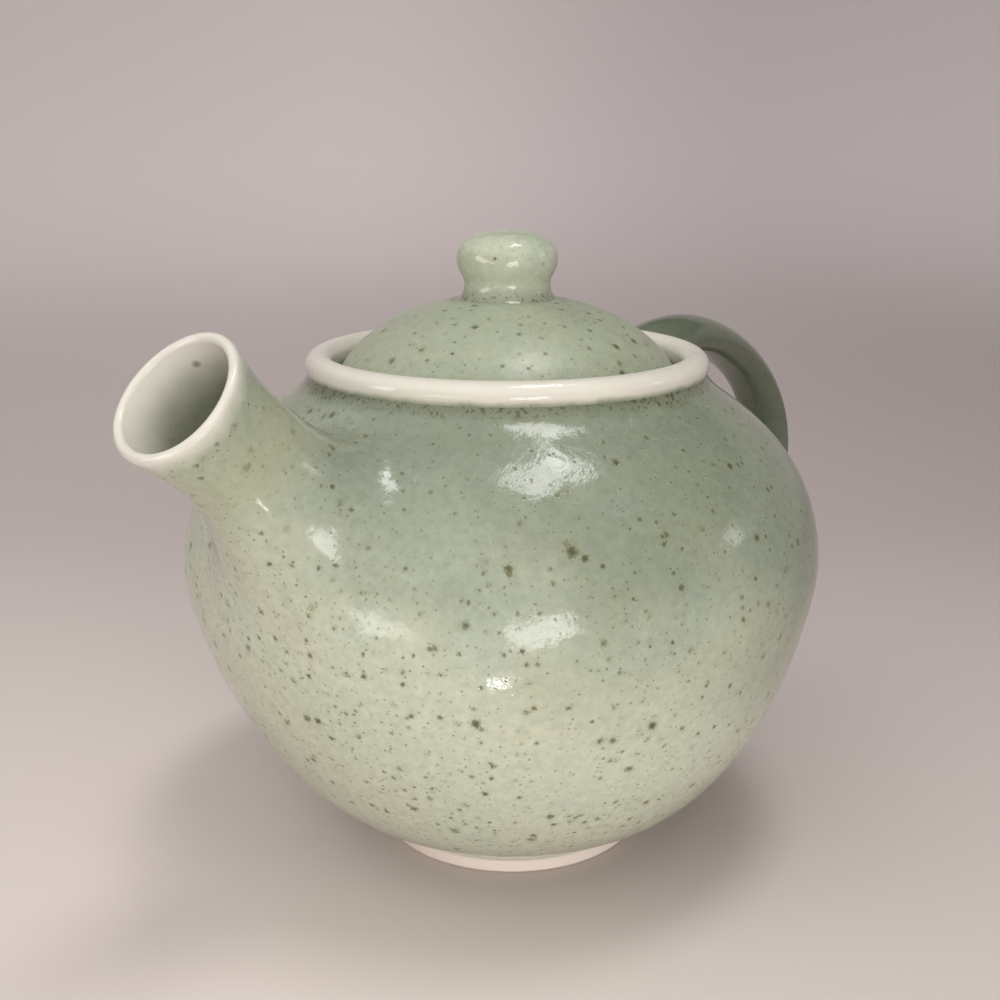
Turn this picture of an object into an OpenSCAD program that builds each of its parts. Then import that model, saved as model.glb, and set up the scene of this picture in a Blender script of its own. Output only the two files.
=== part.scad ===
// Lidded teapot, thrown and luted together from clay members, in millimetres.
// +Z is the axis the pot was thrown on and the origin is the middle of the foot's resting face.
// The spout points along -X and the handle stands opposite it along +X.

/* [Pot] */
// Diameter across the widest part of the belly
belly_d = 120; // [114:1:126]
// Height of the widest part of the belly
belly_z = 56; // [54:0.5:58]
// Thickness of the thrown wall
wall = 3.5; // [3:0.1:4]
// Outside diameter of the foot where it stands
foot_d = 50.4; // [48:0.2:53]
// Height of the foot ring
foot_h = 4.8; // [4:0.1:5.2]

/* [Neck and rim] */
// Diameter of the neck, where the collar is luted in
neck_d = 73.8; // [72:0.2:75]
// Height of the top of the neck, under the bead
neck_z = 90.8; // [90:0.1:91]
// Radius of the rolled bead along the rim
bead_r = 2.5; // [2.2:0.1:2.6]
// Height of the top of the rim
rim_z = 94.8; // [94.6:0.1:96]
// Height of the ledge that the lid rests on
seat_z = 88.5; // [88:0.1:88.8]
// Diameter of the opening inside the ledge
mouth_d = 55; // [54:0.5:56]

/* [Lid] */
// Gap all round between the lid and the collar
lid_gap = 0.5; // [0.4:0.1:0.8]
// Height of the flat that the knob stands on
dome_z = 104; // [103:0.5:105]
// Thickness of the lid's dome
lid_wall = 3; // [2.6:0.1:3.4]
// Depth of the flange that keeps the lid from sliding off
flange_h = 8.5; // [7:0.5:10]
// Thickness of the flange
flange_t = 2.5; // [2:0.1:3]
// Diameter of the steam hole in the lid
vent_d = 3.2; // [2.5:0.1:4]
// Distance of the steam hole from the middle of the lid
vent_x = 15; // [14:0.5:17]

/* [Knob] */
// Diameter of the knob at its widest
knob_d = 18.5; // [17:0.5:20]
// Diameter of the knob's waist
knob_waist_d = 15.9; // [14:0.1:16.5]
// Diameter of the flare that joins the knob to the lid
knob_foot_d = 18.4; // [17:0.2:20]
// Height of the top of the knob
knob_top_z = 116.4; // [115:0.2:118]

/* [Spout] */
// Slope of the spout above the level
spout_slope = 43; // [41:1:45]
// Distance of the spout's mouth from the pot's axis
spout_x = 76; // [75:0.5:78]
// Height of the middle of the spout's mouth
spout_z = 97; // [96:0.5:98]
// Outside diameter of the spout's lip
spout_lip_d = 23; // [22:0.2:24]
// Wall of the spout at its lip
spout_lip_t = 1.8; // [1.6:0.1:2.2]
// Diameter of the spout's bore below the lip
spout_bore_d = 16.4; // [15.5:0.1:17]
// Diameter of the spout's flare where it is luted on
spout_foot_d = 36; // [34:0.5:38]
// Distance along the spout from its mouth to the belly
spout_depth = 31; // [30:0.5:32]
// Diameter of each strainer hole
strainer_d = 3.6; // [3:0.1:4]
// Radius of the ring of strainer holes
strainer_ring_r = 5.2; // [5:0.1:5.6]

/* [Handle] */
// Width of the handle's strap at its middle
strap_w = 12; // [11:0.5:14]
// Thickness of the handle's strap at its middle
strap_t = 7.6; // [7:0.2:9]
// How much wider and thicker the strap is where it is luted on
strap_swell = 1.4; // [1.2:0.1:1.5]

/* [Hidden] */

$fn = 96;
steps = 14;
celadon = "#bcc0a6";
shaded_celadon = "#8f9a84";
bare_porcelain = "#e0dccc";
foot_clay = "#ccc5b5";

belly_r = belly_d / 2;
foot_r = foot_d / 2;
neck_r = neck_d / 2;
mouth_r = mouth_d / 2;
knob_r = knob_d / 2;
knob_waist_r = knob_waist_d / 2;
knob_foot_r = knob_foot_d / 2;
spout_lip_r = spout_lip_d / 2;
spout_bore_r = spout_bore_d / 2;
spout_foot_r = spout_foot_d / 2;

// Radius of the seam where the foot meets the belly
heel_r = foot_r - 0.6;
// Middle of the rim's bead, which stands half a millimetre proud of the neck, and the wall inside it
bead_x = neck_r + 0.5 - bead_r;
bead_z = rim_z - bead_r;
gallery_r = bead_x - bead_r;
lid_r = gallery_r - lid_gap;
flange_r = mouth_r - lid_gap;
flange_in_r = flange_r - flange_t;

// Point and direction on a cubic curve with ends a, d and handles b, c
function curve(k, t) =
    pow(1 - t, 3) * k[0] + 3 * pow(1 - t, 2) * t * k[1] + 3 * (1 - t) * pow(t, 2) * k[2] + pow(t, 3) * k[3];
function heading(k, t) =
    let (v = pow(1 - t, 2) * (k[1] - k[0]) + 2 * (1 - t) * t * (k[2] - k[1]) + pow(t, 2) * (k[3] - k[2]))
    v / norm(v);
// Point a distance d to the left of the curve, which is the inside of a wall drawn upwards
function beside(k, t, d) = curve(k, t) + d * [-heading(k, t)[1], heading(k, t)[0]];
function along(k, from = 0, to = 1, d = 0, n = steps) =
    [for (i = [0:n]) beside(k, from + (to - from) * i / n, d)];
function backwards(list) = [for (i = [len(list) - 1:-1:0]) list[i]];
function arc(x, z, r, from, to, n = 12) =
    [for (i = [0:n]) let (a = from + (to - from) * i / n) [x + r * cos(a), z + r * sin(a)]];

// The outside of the pot: a curve up from the foot, one in over the shoulder and a hollow one up the neck
lower = [
    [heel_r, foot_h], [heel_r + 25, foot_h + 4.2],
    [belly_r, belly_z - 7.5], [belly_r, belly_z]
];
shoulder = [
    [belly_r, belly_z], [belly_r, belly_z + 10.5],
    [neck_r + 17.7, neck_z - 13.8], [neck_r + 5.8, neck_z - 5.6]
];
neck = [
    [neck_r + 5.8, neck_z - 5.6], [neck_r + 4.4, neck_z - 4.6],
    [neck_r + 0.9, neck_z - 2.5], [neck_r, neck_z]
];
floor_z = foot_h + wall;
// Height of the wall's cut face, where the collar drops in
lute_h = 5.9;

// The lid's dome, up from its edge to the flat below the knob
dome = [
    [lid_r - 0.4, seat_z + 1.7], [lid_r - 2.9, seat_z + 7.5],
    [21.5, dome_z - 2.2], [knob_foot_r, dome_z]
];

// The handle's middle line, out from the shoulder and back to the belly
handle_top = [[neck_r + 3, neck_z - 6.3], [58, 100], [97.5, 82], [99.5, 60]];
handle_bottom = [[99.5, 60], [100.9, 44.6], [84, 31], [belly_r - 12, 33]];
ring_sides = 20;
ring_steps = 18;

// Everything inside the outer face of the belly
module pot_outside() {
    rotate_extrude()
        polygon(concat([[0, foot_h]], along(lower), along(shoulder), along(neck, n = 8), [[0, neck_z]]));
}

// Moves a shape drawn along +Z to lie along the spout, with the mouth's middle at its origin
module on_spout() {
    translate([-spout_x, 0, spout_z])
        rotate([0, spout_slope - 90, 0])
            children();
}

// The bowl of the pot, from the foot up to the widest part of the belly
module pot_body() {
    color(celadon)
        rotate_extrude()
            polygon(concat(
                [[0, foot_h]],
                along(lower),
                backwards(along(lower, d = wall)),
                [[0, floor_z]]
            ));
}

// The wall above it, in over the shoulder and up the neck
module pot_shoulder() {
    color(celadon)
        difference() {
            rotate_extrude()
                polygon(concat(
                    along(shoulder),
                    along(neck, n = 8),
                    [[neck_r, neck_z - lute_h]],
                    backwards(along(shoulder, d = wall))
                ));
            on_spout()
                strainer_holes();
        }
}

// One hole in the middle and a ring of six, through the wall behind the spout
module strainer_holes() {
    translate([0, 0, -spout_depth - 14]) {
        cylinder(d = strainer_d, h = 24);
        for (a = [0:60:300])
            rotate([0, 0, a])
                translate([strainer_ring_r, 0, 0])
                    cylinder(d = strainer_d, h = 24);
    }
}

module foot_ring() {
    inner_r = foot_r - 4.3;
    color(foot_clay)
        rotate_extrude()
            polygon([
                [inner_r, 0.4], [inner_r + 0.4, 0], [foot_r - 0.5, 0], [foot_r, 0.5],
                [foot_r, foot_h / 2], [foot_r - 0.5, foot_h / 2 + 0.4],
                [heel_r, foot_h], [inner_r - 0.6, foot_h]
            ]);
}

module collar() {
    color(bare_porcelain)
        rotate_extrude()
            polygon(concat(
                [[mouth_r + 1, neck_z - lute_h], [neck_r, neck_z - lute_h]],
                arc(bead_x, bead_z, bead_r, -acos((neck_r - bead_x) / bead_r), 180),
                [[gallery_r, seat_z], [mouth_r, seat_z], [mouth_r, neck_z - lute_h + 1]]
            ));
}

module spout() {
    lip_r = spout_lip_t / 2;
    flare = [
        [spout_lip_r, -1], [spout_lip_r - 2.1, -8],
        [spout_lip_r - 3.3, -0.6 * spout_depth], [spout_foot_r, -spout_depth]
    ];
    color(celadon)
        difference() {
            on_spout()
                rotate_extrude()
                    polygon(concat(
                        [[spout_bore_r, -spout_depth - 11], [spout_bore_r, -14]],
                        [[spout_lip_r - spout_lip_t, -lip_r]],
                        backwards(arc(spout_lip_r - lip_r, -lip_r, lip_r, 0, 180, 8)),
                        along(flare),
                        [[spout_foot_r, -spout_depth - 11]]
                    ));
            pot_outside();
        }
}

// Oval rings swept along the handle's middle line, narrowest at the middle of the strap
function strap_size(u) = 1 + (strap_swell - 1) * pow(abs(2 * u - 1), 2.5);
function strap_ring(p, v, size) =
    [for (i = [0:ring_sides - 1])
        let (a = 360 * i / ring_sides, out = size * strap_t / 2 * cos(a))
        [p[0] + out * v[1], -size * strap_w / 2 * sin(a), p[1] - out * v[0]]];

module handle() {
    top = [for (i = [0:ring_steps]) let (t = i / ring_steps)
        strap_ring(curve(handle_top, t), heading(handle_top, t), strap_size(t / 2))];
    bottom = [for (i = [1:ring_steps]) let (t = i / ring_steps)
        strap_ring(curve(handle_bottom, t), heading(handle_bottom, t), strap_size((1 + t) / 2))];
    rings = concat(top, bottom);
    last = len(rings) - 1;
    sides = [for (j = [0:last - 1], i = [0:ring_sides - 1])
        let (k = (i + 1) % ring_sides)
        [j * ring_sides + i, j * ring_sides + k, (j + 1) * ring_sides + k, (j + 1) * ring_sides + i]];
    start_cap = [for (i = [ring_sides - 1:-1:0]) i];
    end_cap = [for (i = [0:ring_sides - 1]) last * ring_sides + i];
    color(shaded_celadon)
        difference() {
            polyhedron(points = [for (r = rings) each r], faces = concat(sides, [start_cap, end_cap]));
            pot_outside();
            cylinder(r = bead_x + bead_r + 0.6, h = rim_z + 5);
        }
}

module lid_dome() {
    color(celadon)
        difference() {
            rotate_extrude()
                polygon(concat(
                    [[flange_in_r, seat_z], [lid_r - 0.4, seat_z], [lid_r, seat_z + 0.4], [lid_r, seat_z + 1]],
                    along(dome),
                    [[0, dome_z], [0, dome_z - lid_wall]],
                    backwards(along(dome, from = 0.42, d = lid_wall, n = 10))
                ));
            translate([vent_x, 0, dome_z - 12])
                cylinder(d = vent_d, h = 20);
        }
}

module lid_flange() {
    low_z = seat_z - flange_h;
    color(bare_porcelain)
        rotate_extrude()
            polygon([
                [flange_in_r + 0.6, low_z], [flange_r - 1.2, low_z], [flange_r - 0.6, low_z + 0.6],
                [flange_r, seat_z], [flange_in_r, seat_z], [flange_in_r, low_z + 0.6]
            ]);
}

module lid_knob() {
    waist_z = dome_z + 2.8;
    flare = [
        [knob_foot_r, dome_z], [knob_foot_r - 0.9, dome_z + 0.6],
        [knob_waist_r, waist_z - 1.2], [knob_waist_r, waist_z]
    ];
    bulb = [
        [knob_waist_r, waist_z], [knob_waist_r, waist_z + 1.4],
        [knob_r, waist_z + 2], [knob_r, waist_z + 4.6]
    ];
    crown = [
        [knob_r, waist_z + 4.6], [knob_r, knob_top_z - 1.6],
        [knob_r - 3.6, knob_top_z], [0, knob_top_z]
    ];
    color(celadon)
        rotate_extrude()
            polygon(concat(
                [[0, dome_z]],
                along(flare, n = 6),
                along(bulb, from = 1 / 6, n = 5),
                along(crown, from = 1 / 10, n = 9)
            ));
}

pot_body();
pot_shoulder();
foot_ring();
collar();
spout();
handle();
lid_dome();
lid_flange();
lid_knob();
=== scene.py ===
"""Lidded teapot in speckled celadon: a thrown body with a luted spout and a pulled handle.

Lengths in the shape functions are millimetres. The pot's axis is +Z, the spout points along -X, the handle stands
along +X, and the foot rests on the floor at height 0.
"""

from math import acos, atan2, cos, degrees, pi, radians, sin, tau

import bmesh
import bpy
from mathutils import Matrix, Quaternion, Vector, noise
from mathutils.bvhtree import BVHTree
from mathutils.geometry import interpolate_bezier


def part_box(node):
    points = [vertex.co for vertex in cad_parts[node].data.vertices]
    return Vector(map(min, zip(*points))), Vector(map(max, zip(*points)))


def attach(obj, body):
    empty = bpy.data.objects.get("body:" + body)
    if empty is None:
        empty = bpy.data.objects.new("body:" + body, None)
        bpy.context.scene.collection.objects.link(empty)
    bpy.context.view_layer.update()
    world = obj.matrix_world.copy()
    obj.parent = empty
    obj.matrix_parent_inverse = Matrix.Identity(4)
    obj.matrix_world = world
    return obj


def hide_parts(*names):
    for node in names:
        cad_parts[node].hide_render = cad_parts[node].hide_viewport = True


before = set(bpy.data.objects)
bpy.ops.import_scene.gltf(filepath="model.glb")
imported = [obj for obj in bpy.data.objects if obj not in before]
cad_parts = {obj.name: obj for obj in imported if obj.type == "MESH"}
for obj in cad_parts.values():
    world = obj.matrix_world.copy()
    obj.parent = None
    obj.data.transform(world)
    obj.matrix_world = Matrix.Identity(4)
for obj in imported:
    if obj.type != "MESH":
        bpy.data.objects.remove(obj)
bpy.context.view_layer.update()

MM = 0.001
POTTERY_AXIS = (0, 0, 1)


# ---------------------------------------------------------------- camera

def stand_camera():
    """A short portrait lens close to the pot, a little above its rim and off the spout's side."""
    data = bpy.data.cameras.new("camera")
    data.lens = 49.6
    data.sensor_width = 36
    data.clip_start = 0.01
    camera = bpy.data.objects.new("camera", data)
    camera.location = (-0.1962, -0.1629, 0.1348)
    camera.rotation_euler = (radians(74.76), 0, radians(-50))
    bpy.context.scene.collection.objects.link(camera)
    bpy.context.scene.camera = camera


# ---------------------------------------------------------------- sizes

def turned_size(node):
    """Outside radius, lowest height and top height of a turned CAD node."""
    low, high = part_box(node)
    return round(high.x / MM, 1), round(low.z / MM, 1), round(high.z / MM, 1)


BELLY_R, HEEL_Z, BELLY_Z = turned_size("pot_body")
_, _, NECK_Z = turned_size("pot_shoulder")
FOOT_R, _, FOOT_TOP = turned_size("foot_ring")
RIM_R, LUTE_Z, RIM_Z = turned_size("collar")
LID_R, SEAT_Z, DOME_Z = turned_size("lid_dome")
FLANGE_R, FLANGE_Z, _ = turned_size("lid_flange")
KNOB_R, _, KNOB_TOP = turned_size("lid_knob")

WALL = 3.5
HEEL_R = FOOT_R - 0.6
BEAD_R = 2.5
NECK_R = RIM_R - 0.5
LID_GAP = 0.5
MOUTH_R = FLANGE_R + LID_GAP
GALLERY_R = LID_R + LID_GAP

SPOUT_SLOPE = radians(43)
SPOUT_MOUTH = Vector((-76, 0, 97))
LIP_R = 11.5
LIP_T = 1.8
BORE_R = 8.2
STRAINER_HOLE_R = 1.8
STRAINER_RING_R = 5.2

HANDLE_W = 12
HANDLE_T = 7.6
VENT_R = 1.6
VENT_X = 15


# ---------------------------------------------------------------- shaping helpers

def bend(start, pull_start, pull_end, end, steps=14):
    """Points along a cubic curve, given as (radius, height) pairs."""
    return interpolate_bezier(*[Vector((*p, 0)) for p in (start, pull_start, pull_end, end)], steps + 1)


def corner(middle, radius, start, end, steps=6):
    """Points round part of a circle, in degrees, counterclockwise when end is the larger."""
    turns = [radians(start + (end - start) * i / steps) for i in range(steps + 1)]
    return [Vector((middle[0] + radius * cos(t), middle[1] + radius * sin(t), 0)) for t in turns]


def points(*pairs):
    return [Vector((*p, 0)) for p in pairs]


def inset(line, depth):
    """The line moved to its left, which is inwards where it is drawn upwards."""
    moved = []
    for before, here, after in zip([line[0], *line], line, [*line[1:], line[-1]]):
        along = (after - before).normalized()
        moved.append(here + depth * Vector((-along.y, along.x, 0)))
    return moved


def turned(line, steps=192, closed=False):
    """Spins a line of (radius, height) points round the pot's axis."""
    bm = bmesh.new()
    corners = [bm.verts.new((p[0], 0, p[1])) for p in line]
    pairs = list(zip(corners, corners[1:]))
    if closed:
        pairs.append((corners[-1], corners[0]))
    edges = [bm.edges.new(pair) for pair in pairs]
    bmesh.ops.spin(
        bm, geom=corners + edges, cent=(0, 0, 0), axis=POTTERY_AXIS, dvec=(0, 0, 0),
        angle=tau, steps=steps, use_merge=True, use_normal_flip=False, use_duplicate=False,
    )
    bmesh.ops.remove_doubles(bm, verts=bm.verts, dist=0.01)
    bmesh.ops.recalc_face_normals(bm, faces=bm.faces)
    return bm


def sleeve(lines):
    """Skins a tube over lines that run along it, one for each step round it."""
    bm = turned([(1, i) for i in range(len(lines[0]))], len(lines))
    for v in bm.verts:
        step = round(atan2(v.co.y, v.co.x) / tau * len(lines)) % len(lines)
        v.co = lines[step][round(v.co.z)]
    return bm


def seal_ends(bm, bridge):
    """Closes a tube: its two ends to each other through the wall, or each with a cap."""
    ends = [e for e in bm.edges if e.is_boundary]
    if bridge:
        bmesh.ops.bridge_loops(bm, edges=ends)
    else:
        bmesh.ops.holes_fill(bm, edges=ends, sides=0)
    bmesh.ops.recalc_face_normals(bm, faces=bm.faces)


def smoothstep(value, low, high):
    t = min(max((value - low) / (high - low), 0), 1)
    return t * t * (3 - 2 * t)


def throw_unevenly(bm, lean=True):
    """The slight lean and soft unevenness of a pot that was thrown by hand."""
    leaning_to = Vector((0.643, -0.766, 0))
    for v in bm.verts:
        z = v.co.z
        out = Vector((v.co.x, v.co.y, 0))
        uneven = noise.noise(Vector((v.co.x / 34, v.co.y / 34, z / 26 + 7)))
        v.co += out * 0.0032 * uneven
        if lean:
            v.co += leaning_to * (0.9 - 2 * smoothstep(z, 0, BELLY_Z) + 1.1 * smoothstep(z, BELLY_Z, NECK_Z))


def lie_down(start, heading, aim, skin, steps, leave=0.4, land=0.35):
    """A line that leaves start along heading and lies down smoothly on the pot's skin, where a ray from aim meets it."""
    hit, normal, _, _ = skin.ray_cast(aim, heading)
    away = (aim - start).normalized()
    flat = (away - away.dot(normal) * normal).normalized()
    reach = (hit - start).length
    landing = hit - 0.06 * normal
    return interpolate_bezier(
        start, start + leave * reach * heading, landing - land * reach * flat, landing, steps + 1)


def drilled(bm, holes):
    """Cuts round holes, each a (matrix, radius, depth), through a piece."""
    mesh = bpy.data.meshes.new("blank")
    bm.to_mesh(mesh)
    bm.free()
    drill_bm = bmesh.new()
    for matrix, radius, depth in holes:
        bmesh.ops.create_cone(
            drill_bm, cap_ends=True, segments=32, radius1=radius, radius2=radius, depth=depth, matrix=matrix)
    drill_mesh = bpy.data.meshes.new("drill")
    drill_bm.to_mesh(drill_mesh)
    drill_bm.free()
    blank = bpy.data.objects.new("blank", mesh)
    drill = bpy.data.objects.new("drill", drill_mesh)
    for obj in (blank, drill):
        bpy.context.scene.collection.objects.link(obj)
    cut = blank.modifiers.new("cut", "BOOLEAN")
    cut.object = drill
    cut.operation = "DIFFERENCE"
    cut.solver = "EXACT"
    shaped = bpy.data.meshes.new_from_object(blank.evaluated_get(bpy.context.evaluated_depsgraph_get()))
    result = bmesh.new()
    result.from_mesh(shaped)
    for obj in (blank, drill):
        bpy.data.objects.remove(obj)
    return result


def finished(name, bm, materials, body, slot, *nodes):
    """Scales a piece to metres, shades it, and lets it ride and stand for its CAD nodes."""
    bmesh.ops.scale(bm, vec=(MM, MM, MM), verts=bm.verts)
    mesh = bpy.data.meshes.new(name)
    bm.to_mesh(mesh)
    bm.free()
    mesh.shade_smooth()
    mesh.set_sharp_from_angle(angle=radians(38))
    for material in materials:
        mesh.materials.append(material)
    obj = bpy.data.objects.new(name, mesh)
    bpy.context.scene.collection.objects.link(obj)
    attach(obj, body)
    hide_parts(*nodes)
    return obj


# ---------------------------------------------------------------- the pot

def belly_outline():
    """The outside of the pot, from the foot to the groove under the rim."""
    lower = bend((HEEL_R, HEEL_Z), (HEEL_R + 25, HEEL_Z + 4.2), (BELLY_R, BELLY_Z - 7.5), (BELLY_R, BELLY_Z), 40)
    waist = (NECK_R + 5.8, NECK_Z - 5.6)
    shoulder = bend((BELLY_R, BELLY_Z), (BELLY_R, BELLY_Z + 10.5), (NECK_R + 17.7, NECK_Z - 13.8), waist, 30)
    neck = bend(waist, (NECK_R + 4.4, NECK_Z - 4.6), (NECK_R + 0.9, NECK_Z - 2.5), (NECK_R, NECK_Z), 14)
    return lower, shoulder, neck


def throw_belly():
    lower, shoulder, neck = belly_outline()
    inside = inset([*lower, *shoulder[1:]], WALL)
    outline = [
        *points((0, HEEL_Z)),
        *lower,
        *shoulder[1:],
        *neck[1:],
        *points((NECK_R, LUTE_Z)),
        *reversed(inside),
        *points((0, HEEL_Z + WALL)),
    ]
    bm = turned(outline)
    throw_unevenly(bm)
    return bm


def turn_foot():
    """A low ring with a step half way up and softened edges."""
    inner = FOOT_R - 4.3
    step_z = FOOT_TOP / 2
    outline = [
        *corner((FOOT_R - 0.6, 0.6), 0.6, -90, 0),
        *corner((FOOT_R - 0.4, step_z - 0.2), 0.4, 0, 80, 4),
        *points((FOOT_R - 0.7, step_z + 0.4), (HEEL_R, FOOT_TOP + 0.05), (inner - 0.8, FOOT_TOP + 0.05)),
        *corner((inner + 0.5, 0.5), 0.5, 180, 270),
    ]
    bm = turned(outline, closed=True)
    throw_unevenly(bm)
    return bm


def throw_rim():
    """The rolled bead, the gallery inside it and the ledge that carries the lid."""
    bead = (RIM_R - BEAD_R, RIM_Z - BEAD_R)
    under = degrees(acos((NECK_R - bead[0]) / BEAD_R))
    outline = [
        *points((MOUTH_R + 1, LUTE_Z), (NECK_R, LUTE_Z)),
        *corner(bead, BEAD_R, -under, 180, 26),
        *corner((GALLERY_R - 1, SEAT_Z + 1), 1, 0, -90, 5),
        *corner((MOUTH_R + 0.7, SEAT_Z - 0.7), 0.7, 90, 180, 5),
        *points((MOUTH_R, LUTE_Z + 1)),
    ]
    bm = turned(outline, closed=True)
    throw_unevenly(bm, lean=False)
    return bm


def spout_frame():
    """Local +Z runs out along the spout from the middle of its mouth, and +X is its upper side."""
    return Matrix.Translation(SPOUT_MOUTH) @ Matrix.Rotation(SPOUT_SLOPE - pi / 2, 4, "Y")


def throw_spout(skin):
    place = spout_frame()
    inwards = place.to_3x3() @ Vector((0, 0, -1))
    around = 128
    lip_middle = (LIP_R - LIP_T / 2, -LIP_T / 2)
    lines = []
    for step in range(around):
        turn = tau * step / around
        out = Vector((cos(turn), sin(turn), 0))
        uneven = 1 + 0.012 * sin(2 * turn + 0.6) + 0.008 * sin(3 * turn + 2)
        throat = [
            *bend((10.2, -13), (10.1, -8), (LIP_R - 0.5, -4.6), (LIP_R, -LIP_T / 2), 10)[1:],
            *corner(lip_middle, LIP_T / 2, 0, 180, 10)[1:],
            *bend((LIP_R - LIP_T, -LIP_T / 2), (BORE_R + 0.3, -6), (BORE_R, -9), (BORE_R, -16), 8)[1:],
        ]
        throat = [place @ (out * p.x * uneven + Vector((0, 0, p.y))) for p in throat]
        waist = place @ (out * 10.2 * uneven + Vector((0, 0, -13)))
        root_r = 22.5 - 3.5 * cos(turn)
        root = lie_down(waist, inwards, place @ (out * root_r), skin, 24)
        bore_end, normal, _, _ = skin.ray_cast(place @ (out * BORE_R), inwards)
        lines.append([*reversed(root), *throat, bore_end - 0.06 * normal])
    bm = sleeve(lines)
    seal_ends(bm, bridge=True)
    outwards = place.to_3x3() @ Vector((0, 0, 1))
    for face in bm.faces:
        middle = face.calc_center_median() - SPOUT_MOUTH
        along = middle.dot(outwards)
        radius = (middle - along * outwards).length
        if face.normal.dot(middle - along * outwards) < 0 and radius < LIP_R - 0.4:
            face.material_index = 1
    return bm


def strap_ring(middle, heading, size, turn):
    """A point on the handle's cross-section: an oval with a soft ridge along its back."""
    out = Vector((heading.z, 0, -heading.x)) * -1
    ridge = 1 + 0.05 * max(cos(turn), 0) ** 6
    return middle + size * (out * HANDLE_T / 2 * cos(turn) * ridge + Vector((0, 1, 0)) * HANDLE_W / 2 * sin(turn))


def pull_handle(skin):
    top = [(NECK_R + 3, NECK_Z - 6.3), (58, 100), (97.5, 82), (99.5, 60)]
    bottom = [(99.5, 60), (100.9, 44.6), (84, 31), (BELLY_R - 12, 33)]
    middles = [*bend(*top, 40), *bend(*bottom, 40)[1:]]
    middles = [Vector((p.x, 0, p.y)) for p in middles][5:-14]
    headings = [(b - a).normalized() for a, b in zip([middles[0], *middles], [*middles[1:], middles[-1]])]
    headings[0] = (middles[1] - middles[0]).normalized()
    last = len(middles) - 1
    around = 48
    lines = []
    for step in range(around):
        turn = tau * step / around
        strap = []
        for i, (middle, heading) in enumerate(zip(middles, headings)):
            size = 1 + 0.3 * abs(2 * i / last - 1) ** 2.5
            strap.append(strap_ring(middle, heading, size, turn))
        first_aim = middles[0] + (strap[0] - middles[0]) * 1.35
        last_aim = middles[last] + (strap[last] - middles[last]) * 1.35
        start = lie_down(strap[0], -headings[0], first_aim, skin, 8)
        end = lie_down(strap[last], headings[last], last_aim, skin, 8)
        lines.append([*reversed(start), *strap[1:-1], *end])
    bm = sleeve(lines)
    seal_ends(bm, bridge=False)
    return bm


# ---------------------------------------------------------------- the lid

def throw_lid():
    under_r = FLANGE_R - 2.5
    dome = bend((LID_R - 0.4, SEAT_Z + 1.7), (LID_R - 2.9, SEAT_Z + 7.5), (21.5, DOME_Z - 2.2), (9.2, DOME_Z), 36)
    inside = [p for p in inset(dome, 3) if p.x < under_r - 0.2]
    outline = [
        *points((under_r, SEAT_Z)),
        *corner((LID_R - 0.5, SEAT_Z + 0.5), 0.5, -90, 0, 4),
        *corner((LID_R - 0.8, SEAT_Z + 1.2), 0.8, 0, 50, 4),
        *dome[1:],
        *points((0, DOME_Z), (0, DOME_Z - 3)),
        *reversed(inside),
    ]
    bm = turned(outline, closed=True)
    throw_unevenly(bm, lean=False)
    return bm


def turn_flange():
    under_r = FLANGE_R - 2.5
    outline = [
        *corner((under_r + 0.6, FLANGE_Z + 0.6), 0.6, 180, 270, 4),
        *corner((FLANGE_R - 1.2, FLANGE_Z + 0.8), 0.8, -90, 0, 5),
        *points((FLANGE_R, SEAT_Z), (under_r, SEAT_Z)),
    ]
    return turned(outline, closed=True)


def throw_knob():
    waist_z = DOME_Z + 2.8
    waist_r = 7.95
    outline = [
        *points((0, DOME_Z - 0.05)),
        *bend((9.2, DOME_Z - 0.05), (8.3, DOME_Z + 0.6), (waist_r, waist_z - 1.2), (waist_r, waist_z), 8),
        *bend((waist_r, waist_z), (waist_r, waist_z + 1.4), (KNOB_R, waist_z + 2), (KNOB_R, waist_z + 4.6), 12),
        *bend((KNOB_R, waist_z + 4.6), (KNOB_R, KNOB_TOP - 1.6), (KNOB_R - 3.6, KNOB_TOP), (0, KNOB_TOP), 20),
    ]
    bm = turned(outline, 96)
    return bm


# ---------------------------------------------------------------- colour and nodes

def linear(hex_colour):
    """An sRGB hex colour as the linear RGBA that shader sockets hold."""
    parts = [int(hex_colour[i:i + 2], 16) / 255 for i in (1, 3, 5)]
    return (*[p / 12.92 if p <= 0.04045 else ((p + 0.055) / 1.055) ** 2.4 for p in parts], 1)


def add(tree, kind, inputs=None, **settings):
    """Adds a shader node. An input is a value, a socket, or a node that stands for its first output."""
    made = tree.nodes.new("ShaderNode" + kind)
    for key, value in settings.items():
        setattr(made, key, value)
    for key, value in (inputs or {}).items():
        if isinstance(value, bpy.types.Node):
            value = value.outputs[0]
        if isinstance(value, bpy.types.NodeSocket):
            tree.links.new(value, made.inputs[key])
        else:
            made.inputs[key].default_value = value
    return made


def new_material(name):
    material = bpy.data.materials.new(name)
    material.use_nodes = True
    tree = material.node_tree
    tree.nodes.clear()
    place = add(tree, "TexCoord").outputs["Object"]
    millimetres = add(tree, "VectorMath", {0: place, "Scale": 1 / MM}, operation="SCALE").outputs[0]
    return material, tree, millimetres


def close_material(tree, shader):
    add(tree, "OutputMaterial", {"Surface": shader})


# ---------------------------------------------------------------- glazes and clays

PALE_CELADON = "#c2c6b4"
POOLED_CELADON = "#818a79"

# Iron specks: the mean gap between them, the share of cells that hold one, the largest radius, and their strength
SPECKS = [
    (9.0, 0.50, 1.15, 0.95),
    (3.5, 0.46, 0.90, 0.95),
    (2.0, 0.58, 0.58, 0.90),
    (0.95, 0.60, 0.26, 0.70),
]

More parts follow.
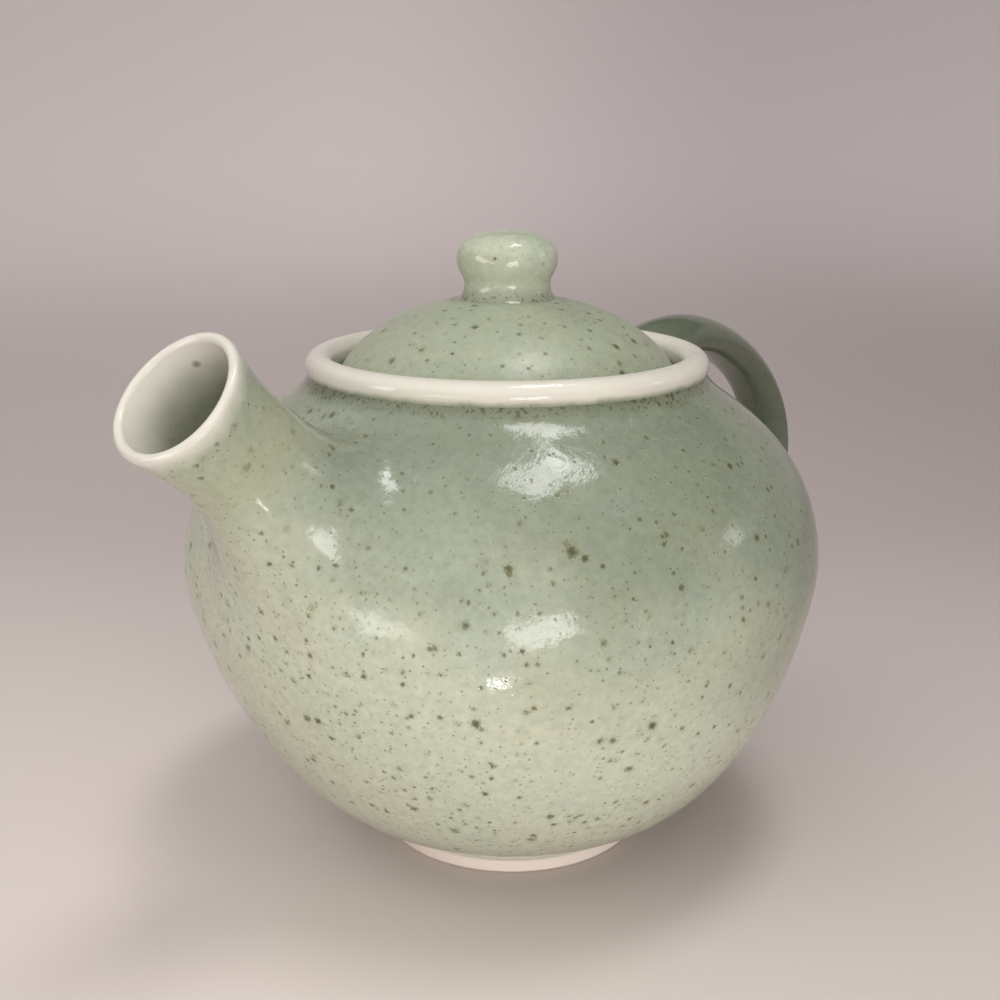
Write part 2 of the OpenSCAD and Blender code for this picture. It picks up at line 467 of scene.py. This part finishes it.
# The few largest specks, high on the belly's front: degrees round from +X, height and radius
BLOOMS = [(230, 72, 1.25), (232, 71, 0.75), (220, 70, 0.8), (215, 45, 0.95), (244, 42, 0.95), (187, 41, 0.8), (242, 83, 0.8)]


def blended(tree, share, first, second, blend_type="MIX"):
    """The colour between two others; share 0 is all the first."""
    mix = add(tree, "Mix", data_type="RGBA", blend_type=blend_type)
    sockets = [s for s in mix.inputs if s.enabled]
    for socket, value in zip(sockets, (share, first, second)):
        if isinstance(value, bpy.types.NodeSocket):
            tree.links.new(value, socket)
        else:
            socket.default_value = value
    return next(s for s in mix.outputs if s.enabled)


def celadon_nodes(tree, mm, pale, pooled, speckled=1.0, dull=0.0, blooms=()):
    """Colour, roughness and height of a greyed celadon: thin and creamy low down, pooled and greener on the shoulder,
    burnt through by iron specks with soft halos, and finely crazed."""
    height = add(tree, "SeparateXYZ", {0: mm}).outputs["Z"]
    cloud = add(tree, "TexNoise", {"Vector": mm, "Scale": 1 / 26, "Detail": 2}).outputs["Fac"]
    drift = add(tree, "Math", {0: cloud, 1: 30.0, 2: -15.0}, operation="MULTIPLY_ADD")
    level = add(tree, "Math", {0: height, 1: drift}, operation="ADD")
    # Painted shade: the darker pooled colour reaches further down on the side away from the light, towards the handle
    painted_shade_side = add(tree, "VectorMath", {0: mm, 1: (0.643, -0.766, 0)}, operation="DOT_PRODUCT").outputs["Value"]
    level = add(tree, "Math", {0: painted_shade_side, 1: 0.36, 2: level}, operation="MULTIPLY_ADD")
    pooling = add(
        tree, "MapRange", {"Value": level, "From Min": 40, "From Max": 88}, interpolation_type="SMOOTHSTEP")
    # The glaze drains off the spout, so it stays pale towards the mouth
    outwards = spout_frame().to_3x3() @ Vector((0, 0, 1))
    along = add(tree, "VectorMath", {0: mm, 1: outwards}, operation="DOT_PRODUCT").outputs["Value"]
    drained = add(tree, "MapRange", {
        "Value": along, "From Min": SPOUT_MOUTH.dot(outwards) - 34, "From Max": SPOUT_MOUTH.dot(outwards) - 8,
        "To Min": 1.0, "To Max": 0.6}, interpolation_type="SMOOTHSTEP")
    pooling = add(tree, "Math", {0: pooling, 1: drained}, operation="MULTIPLY")
    colour = blended(tree, pooling.outputs[0], linear(pale), linear(pooled))

    # Slow patches, some 15 mm across, lean towards straw or towards grey
    patch = add(tree, "TexNoise", {"Vector": mm, "Scale": 1 / 15, "Detail": 3, "Roughness": 0.6}).outputs["Fac"]
    patch = add(tree, "MapRange", {"Value": patch, "From Min": 0.35, "From Max": 0.65})
    lean = blended(tree, patch.outputs[0], linear("#f7fbf8"), linear("#fdfbf4"))
    colour = blended(tree, 1.0, colour, lean, "MULTIPLY")

    # Fine mottling, a millimetre or two across, where the melt ran unevenly
    mottle = add(tree, "TexNoise", {"Vector": mm, "Scale": 1 / 1.6, "Detail": 4, "Roughness": 0.6}).outputs["Fac"]
    tone = add(tree, "MapRange", {"Value": mottle, "From Min": 0.3, "From Max": 0.7, "To Min": 0.88, "To Max": 1.06})
    toned = add(tree, "CombineColor", {0: tone, 1: tone, 2: tone})
    colour = blended(tree, 1.0, colour, toned.outputs[0], "MULTIPLY")

    # Crazing: hair cracks some 7 mm apart, broken up so that they come and go
    bent = add(tree, "TexNoise", {"Vector": mm, "Scale": 1 / 4, "Detail": 2}).outputs["Color"]
    bent = add(tree, "VectorMath", {0: bent, "Scale": 3.0}, operation="SCALE")
    bent = add(tree, "VectorMath", {0: mm, 1: bent}, operation="ADD")
    cracks = add(tree, "TexVoronoi", {"Vector": bent, "Scale": 1 / 7}, feature="DISTANCE_TO_EDGE").outputs["Distance"]
    cracks = add(tree, "MapRange", {"Value": cracks, "From Min": 0.003, "From Max": 0.011, "To Min": 1, "To Max": 0})
    broken = add(tree, "TexNoise", {"Vector": mm, "Scale": 1 / 5, "Detail": 3}).outputs["Fac"]
    broken = add(tree, "MapRange", {"Value": broken, "From Min": 0.5, "From Max": 0.65, "To Max": 0.12})
    cracks = add(tree, "Math", {0: cracks, 1: broken}, operation="MULTIPLY")
    colour = blended(tree, cracks.outputs[0], colour, linear("#e9e8dc"))

    # Iron specks crowd together in drifts some 20 mm wide; each has a ragged core and a soft olive halo
    crowding = add(tree, "TexNoise", {"Vector": mm, "Scale": 1 / 20, "Detail": 2}).outputs["Fac"]
    crowding = add(
        tree, "MapRange", {"Value": crowding, "From Min": 0.35, "From Max": 0.65, "To Min": 0.72, "To Max": 1.08})
    ragged = add(tree, "TexNoise", {"Vector": mm, "Scale": 1 / 0.45, "Detail": 3}).outputs["Fac"]
    ragged = add(tree, "Math", {0: ragged, 1: 2.0}, operation="MULTIPLY")
    specks = []
    for gap, share, largest, strength in SPECKS:
        cells = add(tree, "TexVoronoi", {"Vector": mm, "Scale": 1 / gap, "Randomness": 1.0})
        chances = add(tree, "SeparateColor", {0: cells.outputs["Color"]})
        luck = add(tree, "Math", {0: chances.outputs[0], 1: crowding}, operation="MULTIPLY")
        held = add(tree, "Math", {0: luck, 1: 1 - share}, operation="GREATER_THAN")
        size = largest * speckled / gap
        radius = add(tree, "MapRange", {"Value": chances.outputs[2], "To Min": 0.4 * size, "To Max": size})
        reach = add(tree, "Math", {0: cells.outputs["Distance"], 1: radius}, operation="DIVIDE")
        depth = add(tree, "MapRange", {"Value": chances.outputs[1], "To Min": 0.6 * strength, "To Max": strength})
        depth = add(tree, "Math", {0: depth, 1: held}, operation="MULTIPLY")
        specks.append((reach, depth))
    for place, radius in blooms:
        away = add(tree, "VectorMath", {0: mm, 1: place}, operation="DISTANCE").outputs["Value"]
        specks.append((add(tree, "Math", {0: away, 1: radius}, operation="DIVIDE"), 0.9))
    pitted = 0.0
    for reach, depth in specks:
        reach = add(tree, "Math", {0: reach, 1: ragged}, operation="MULTIPLY")
        core = add(tree, "MapRange", {"Value": reach, "From Min": 0.2, "From Max": 1.15, "To Min": 1, "To Max": 0},
                   interpolation_type="SMOOTHSTEP")
        core = add(tree, "Math", {0: core, 1: depth}, operation="MULTIPLY")
        halo = add(tree, "MapRange", {"Value": reach, "From Min": 0.4, "From Max": 2.0, "To Min": 0.4, "To Max": 0},
                   interpolation_type="SMOOTHSTEP")
        halo = add(tree, "Math", {0: halo, 1: depth}, operation="MULTIPLY")
        colour = blended(tree, halo.outputs[0], colour, linear("#888862"))
        colour = blended(tree, core.outputs[0], colour, linear("#44422b"))
        pitted = add(tree, "Math", {0: pitted, 1: core}, operation="MAXIMUM")

    # Satin-bright melt, a little duller where the iron boiled through
    gloss = add(tree, "TexNoise", {"Vector": mm, "Scale": 1 / 9, "Detail": 4}).outputs["Fac"]
    rough = add(tree, "MapRange", {
        "Value": gloss, "From Min": 0.3, "From Max": 0.7, "To Min": 0.09 + dull, "To Max": 0.17 + dull})
    rough = add(tree, "Math", {0: pitted, 1: 0.2, 2: rough}, operation="MULTIPLY_ADD")

    # Heights in millimetres: fine grain, orange peel, slow swells and shallow pits at the specks
    peel = add(tree, "TexNoise", {"Vector": mm, "Scale": 1 / 1.3, "Detail": 2}).outputs["Fac"]
    swell = add(tree, "TexNoise", {"Vector": mm, "Scale": 1 / 7, "Detail": 2}).outputs["Fac"]
    grain = add(tree, "TexNoise", {"Vector": mm, "Scale": 1 / 0.5, "Detail": 1}).outputs["Fac"]
    relief = add(tree, "Math", {0: grain, 1: 0.014}, operation="MULTIPLY")
    relief = add(tree, "Math", {0: peel, 1: 0.04, 2: relief}, operation="MULTIPLY_ADD")
    relief = add(tree, "Math", {0: swell, 1: 0.16, 2: relief}, operation="MULTIPLY_ADD")
    relief = add(tree, "Math", {0: pitted, 1: -0.03, 2: relief}, operation="MULTIPLY_ADD")
    return colour, rough.outputs[0], relief.outputs[0]


def glazed_shader(tree, colour, rough, relief):
    bump = add(tree, "Bump", {"Height": relief, "Distance": MM, "Strength": 1.0})
    return add(tree, "BsdfPrincipled", {
        "Base Color": colour, "Roughness": rough, "Normal": bump, "IOR": 1.52, "Specular IOR Level": 0.36})


def past_line(tree, distance, mm, wander, soft):
    """0 before a hand-wiped line and 1 past it; the line wanders and is soft by these millimetres."""
    waver = add(tree, "TexNoise", {"Vector": mm, "Scale": 1 / 4, "Detail": 4}).outputs["Fac"]
    waver = add(tree, "Math", {0: waver, 1: 2 * wander, 2: -wander}, operation="MULTIPLY_ADD")
    distance = add(tree, "Math", {0: distance, 1: waver}, operation="ADD")
    return add(tree, "MapRange", {"Value": distance, "From Min": -soft / 2, "From Max": soft / 2},
               interpolation_type="SMOOTHSTEP").outputs[0]


def band(tree, distance, low, high, mm, wander, soft):
    """1 between two such lines, at these distances, and 0 outside them."""
    over_low = add(tree, "Math", {0: distance, 1: low}, operation="SUBTRACT")
    over_high = add(tree, "Math", {0: distance, 1: high}, operation="SUBTRACT")
    lines = [past_line(tree, over, mm, wander, soft) for over in (over_low, over_high)]
    return add(tree, "Math", {0: lines[0], 1: lines[1]}, operation="SUBTRACT").outputs[0]


def pooled_and_crease_shaded(tree, mm, colour, low, high, wander, soft, share):
    """Glaze that ran down and gathered between two heights, dark and pitted by the iron that boiled there; the dark
    band is also painted shade in the crease where it lies.
    """
    height = add(tree, "SeparateXYZ", {0: mm}).outputs["Z"]
    thick = band(tree, height, low, high, mm, wander, soft)
    thick = add(tree, "Math", {0: thick, 1: share}, operation="MULTIPLY")
    # Dark olive of the pooled glaze, partly painted shade in the crease
    colour = blended(tree, thick.outputs[0], colour, linear("#6f745e"))
    pits = add(tree, "TexNoise", {"Vector": mm, "Scale": 1 / 0.8, "Detail": 3}).outputs["Fac"]
    pits = add(tree, "MapRange", {"Value": pits, "From Min": 0.54, "From Max": 0.62})
    pits = add(tree, "Math", {0: pits, 1: thick}, operation="MULTIPLY")
    return blended(tree, pits.outputs[0], colour, linear("#44452f"))


def celadon_glaze(name, pale, pooled, speckled=1.0, dull=0.0, blooms=(), pool_and_crease_shade=None):
    """Reduction-fired celadon over a speckled white body: glassy, slightly opaque, greener where it lies thick."""
    material, tree, mm = new_material(name)
    colour, rough, relief = celadon_nodes(tree, mm, pale, pooled, speckled, dull, blooms)
    if pool_and_crease_shade:
        colour = pooled_and_crease_shaded(tree, mm, colour, *pool_and_crease_shade)
    close_material(tree, glazed_shader(tree, colour, rough, relief))
    return material


def bloom_places(skin):
    """Where the largest specks lie on the pot's skin, each with its radius."""
    places = []
    for turn, height, radius in BLOOMS:
        out = Vector((cos(radians(turn)), sin(radians(turn)), 0))
        place, _, _, _ = skin.ray_cast(2 * BELLY_R * out + Vector((0, 0, height)), -out)
        places.append((place, radius))
    return places


def wiped_spout_glaze(inside):
    """The same celadon, wiped thin over the spout's lip, where the white clay shows through as a warm pinkish white."""
    material, tree, mm = new_material("celadon_inside_spout" if inside else "celadon_wiped_at_lip")
    pale, pooled = ("#a2a493", "#8f9280") if inside else (PALE_CELADON, POOLED_CELADON)
    colour, rough, relief = celadon_nodes(tree, mm, pale, pooled, 0.4 if inside else 1.0)
    outwards = spout_frame().to_3x3() @ Vector((0, 0, 1))
    along = add(tree, "VectorMath", {0: mm, 1: outwards}, operation="DOT_PRODUCT").outputs["Value"]
    past = add(tree, "Math", {0: along, 1: SPOUT_MOUTH.dot(outwards)}, operation="SUBTRACT")
    if not inside:
        # Straw-green where the melt stopped short of the lip
        straw = band(tree, past, -19, -6, mm, 3, 9)
        straw = add(tree, "Math", {0: straw, 1: 0.35}, operation="MULTIPLY")
        colour = blended(tree, straw.outputs[0], colour, linear("#a0a07c"))
    start, soft = (6, 11) if inside else (2.2, 5)
    past = add(tree, "Math", {0: past, 1: start}, operation="ADD")
    bare = past_line(tree, past, mm, 1.4, soft)
    colour = blended(tree, bare, colour, linear("#d6d2c6"))
    # One stray speck just inside the mouth
    away = add(tree, "VectorMath", {0: mm, 1: spout_frame() @ Vector((7.4, 4.5, -4))}, operation="DISTANCE")
    stray = add(tree, "MapRange", {
        "Value": away.outputs["Value"], "From Min": 0.3, "From Max": 1.0, "To Min": 0.9, "To Max": 0})
    colour = blended(tree, stray.outputs[0], colour, linear("#5a593c"))
    close_material(tree, glazed_shader(tree, colour, rough, relief))
    return material


def clear_glazed_porcelain():
    """White porcelain under a clear glaze, with the celadon's ragged edge creeping up under the bead."""
    material, tree, mm = new_material("clear_glazed_porcelain")
    colour, rough, relief = celadon_nodes(tree, mm, "#9b9f88", "#8b907c")
    height = add(tree, "SeparateXYZ", {0: mm}).outputs["Z"]
    above = add(tree, "Math", {0: height, 1: RIM_Z - 3.5}, operation="SUBTRACT")
    bare = past_line(tree, above, mm, 0.7, 1.6)
    cream = add(tree, "TexNoise", {"Vector": mm, "Scale": 1 / 8, "Detail": 3}).outputs["Fac"]
    white = blended(tree, cream, linear("#d6d2c5"), linear("#cdc8bb"))
    colour = blended(tree, bare, colour, white)
    close_material(tree, glazed_shader(tree, colour, rough, relief))
    return material


def bare_porcelain():
    """Unglazed porcelain, turned and sponged: chalky, with fine grit and a faint pink flash from the kiln."""
    material, tree, mm = new_material("bare_porcelain")
    flash = add(tree, "TexNoise", {"Vector": mm, "Scale": 1 / 12, "Detail": 3}).outputs["Fac"]
    pink = blended(tree, flash, linear("#ede2d5"), linear("#eedcd1"))
    # Above the step it is greyer
    height = add(tree, "SeparateXYZ", {0: mm}).outputs["Z"]
    above = add(tree, "Math", {0: height, 1: FOOT_TOP / 2}, operation="SUBTRACT")
    colour = blended(tree, past_line(tree, above, mm, 0.3, 0.6), pink, linear("#d8d3c3"))
    grit = add(tree, "TexNoise", {"Vector": mm, "Scale": 1 / 0.35, "Detail": 3}).outputs["Fac"]
    relief = add(tree, "Math", {0: grit, 1: 0.03}, operation="MULTIPLY")
    bump = add(tree, "Bump", {"Height": relief, "Distance": MM, "Strength": 1.0})
    close_material(tree, add(tree, "BsdfPrincipled", {
        "Base Color": colour, "Roughness": 0.62, "Normal": bump, "IOR": 1.5}))
    return material


def studio_paper():
    """Matt pale paper, swept up into a wall, with painted light in its colour: paler in front of the pot and towards
    the spout's side, painted shade on the table behind the pot and towards the handle's side, paler again up the wall.
    """
    material, tree, mm = new_material("studio_paper")
    flat = add(tree, "VectorMath", {0: mm, 1: (1, 1, 0)}, operation="MULTIPLY")
    out = add(tree, "VectorMath", {0: flat}, operation="LENGTH").outputs["Value"]
    # Painted shade: the table is drawn darker behind the pot, and paler again up the wall
    behind = add(tree, "VectorMath", {0: mm, 1: (0.77, 0.64, 0)}, operation="DOT_PRODUCT").outputs["Value"]
    behind = add(tree, "MapRange", {"Value": behind, "From Min": -80, "From Max": 240},
                 interpolation_type="SMOOTHSTEP")
    colour = blended(tree, behind.outputs[0], linear("#ded3cd"), linear("#beb3b0"))
    far = add(tree, "MapRange", {"Value": out, "From Min": 400, "From Max": 1400}, interpolation_type="SMOOTHSTEP")
    colour = blended(tree, far.outputs[0], colour, linear("#ded5d4"))
    # Painted light falloff: the paper is drawn darker towards the handle's side of the table
    across = add(tree, "VectorMath", {0: mm, 1: (0.643, -0.766, 0)}, operation="DOT_PRODUCT").outputs["Value"]
    painted_falloff = add(tree, "MapRange", {
        "Value": across, "From Min": -220, "From Max": 330, "To Min": 1.0, "To Max": 0.7},
        interpolation_type="SMOOTHSTEP")
    painted_falloff = add(tree, "CombineColor", {0: painted_falloff, 1: painted_falloff, 2: painted_falloff})
    colour = blended(tree, 1.0, colour, painted_falloff.outputs[0], "MULTIPLY")
    close_material(tree, add(tree, "BsdfPrincipled", {
        "Base Color": colour, "Roughness": 0.95, "Specular IOR Level": 0.0}))
    return material


# ---------------------------------------------------------------- studio

def sweep_paper():
    """A round table of paper, 1.1 m across the flat, that curves up into a wall on every side."""
    bm = turned([*points((0, 0)), *bend((900, 0), (1350, 0), (1500, 60), (1500, 420), 24), *points((1500, 760))], 96)
    bmesh.ops.reverse_faces(bm, faces=bm.faces)
    bmesh.ops.scale(bm, vec=(MM, MM, MM), verts=bm.verts)
    bmesh.ops.translate(bm, vec=(0, 0, -0.0001), verts=bm.verts)
    mesh = bpy.data.meshes.new("paper_sweep")
    bm.to_mesh(mesh)
    bm.free()
    mesh.shade_smooth()
    mesh.materials.append(studio_paper())
    paper = bpy.data.objects.new("paper_sweep", mesh)
    bpy.context.scene.collection.objects.link(paper)


def softbox(name, aim, direction, distance, size, power, roll=0, lights=True, shines=True):
    """An area light at this distance from the aim point, facing it, that lights surfaces, shines in the glaze or both."""
    data = bpy.data.lights.new(name, "AREA")
    data.shape = "RECTANGLE"
    data.size, data.size_y = size
    data.energy = power
    light = bpy.data.objects.new(name, data)
    towards = Vector(direction).normalized()
    light.location = Vector(aim) + towards * distance
    light.rotation_euler = (towards.to_track_quat("Z", "Y") @ Quaternion((0, 0, 1), radians(roll))).to_euler()
    light.visible_camera = False
    light.visible_diffuse = lights
    light.visible_glossy = shines
    bpy.context.scene.collection.objects.link(light)


def light_studio():
    """A pale sky that is brighter on the spout's side, and four soft sources that the glaze shows as highlights."""
    world = bpy.data.worlds.new("studio")
    world.use_nodes = True
    tree = world.node_tree
    sky = tree.nodes["Background"]
    way = add(tree, "TexCoord").outputs["Generated"]
    bright_side = Vector((-0.9, 0.2, 0.4)).normalized()
    share = add(tree, "VectorMath", {0: way, 1: bright_side}, operation="DOT_PRODUCT").outputs["Value"]
    share = add(tree, "MapRange", {"Value": share, "From Min": -0.35, "From Max": 1.0}).outputs[0]
    colour = blended(tree, share, linear("#2f2d2c"), linear("#fffdfc"))
    tree.links.new(colour, sky.inputs["Color"])
    sky.inputs["Strength"].default_value = 1.4
    bpy.context.scene.world = world
    middle = (0, 0, 0.055)
    softbox("overhead", middle, (0.02, -0.19, 0.98), 0.9, (0.34, 0.2), 2.1)
    softbox("overhead_strip", middle, (0.17, -0.06, 0.98), 0.9, (0.3, 0.06), 0.3)
    softbox("front_fill", middle, (-0.72, -0.7, 0.3), 0.9, (0.6, 0.3), 2.6, shines=False)
    softbox("low_window", middle, (-0.62, -0.78, -0.02), 0.32, (0.11, 0.08), 0.24, roll=20)
    softbox("left_window", middle, (-0.985, 0.2, 0.08), 0.42, (0.42, 0.12), 0.95, roll=-35, lights=False)
    softbox("right_window", middle, (0.61, -0.73, 0.31), 0.7, (0.12, 0.1), 0.12, lights=False)
    softbox("low_glint", (-0.044, -0.037, 0.038), (-0.68, -0.51, -0.5), 0.068, (0.009, 0.007), 0.006, lights=False)


# ---------------------------------------------------------------- making and assembly

stand_camera()
sweep_paper()
light_studio()

belly = throw_belly()
skin = BVHTree.FromBMesh(belly)

# The band in the groove under the rim is pooled glaze and painted shade
celadon = celadon_glaze(
    "speckled_celadon_glaze", PALE_CELADON, POOLED_CELADON,
    blooms=bloom_places(skin), pool_and_crease_shade=(NECK_Z - 1.6, NECK_Z + 4, 1.6, 1.8, 0.75))
# Painted shade: the handle's celadon is a darker copy of the body's, for the shade at the back of the pot
shaded_handle_celadon = celadon_glaze("shaded_celadon_glaze", "#767a67", "#616858", 0.5)
lid_celadon = celadon_glaze("thin_celadon_glaze", "#bcbfac", "#a0a793", 0.95, 0.2)
# The band round the knob's foot is pooled glaze and painted shade
knob_celadon = celadon_glaze(
    "glossy_celadon_glaze", "#c0c5b1", "#b6bca8", 0.5, -0.03, pool_and_crease_shade=(DOME_Z - 4, DOME_Z + 1.6, 0.4, 2.6, 0.6))

through = spout_frame() @ Matrix.Translation((0, 0, -38))
holes = [(through, STRAINER_HOLE_R, 24)]
for step in range(6):
    ring = Matrix.Rotation(tau * step / 6, 4, "Z") @ Matrix.Translation((STRAINER_RING_R, 0, 0))
    holes.append((through @ ring, STRAINER_HOLE_R, 24))

finished("thrown_belly", drilled(belly, holes), [celadon], "pot", "celadon_glaze", "pot_body", "pot_shoulder")
finished("turned_foot", turn_foot(), [bare_porcelain()], "pot", "bare_porcelain", "foot_ring")
finished("rolled_rim", throw_rim(), [clear_glazed_porcelain()], "pot", "clear_glazed_porcelain", "collar")
finished("thrown_spout", throw_spout(skin), [wiped_spout_glaze(False), wiped_spout_glaze(True)], "pot", "celadon_glaze", "spout")
finished("pulled_handle", pull_handle(skin), [shaded_handle_celadon], "pot", "celadon_glaze", "handle")

steam_hole = [(Matrix.Translation((VENT_X, 0, DOME_Z - 2)), VENT_R, 20)]
finished("domed_lid", drilled(throw_lid(), steam_hole), [lid_celadon], "lid", "celadon_glaze", "lid_dome")
finished("lid_locator", turn_flange(), [bpy.data.materials["bare_porcelain"]], "lid", "bare_porcelain", "lid_flange")
finished("lid_button", throw_knob(), [knob_celadon], "lid", "celadon_glaze", "lid_knob")

bpy.context.scene.view_settings.view_transform = "Standard"
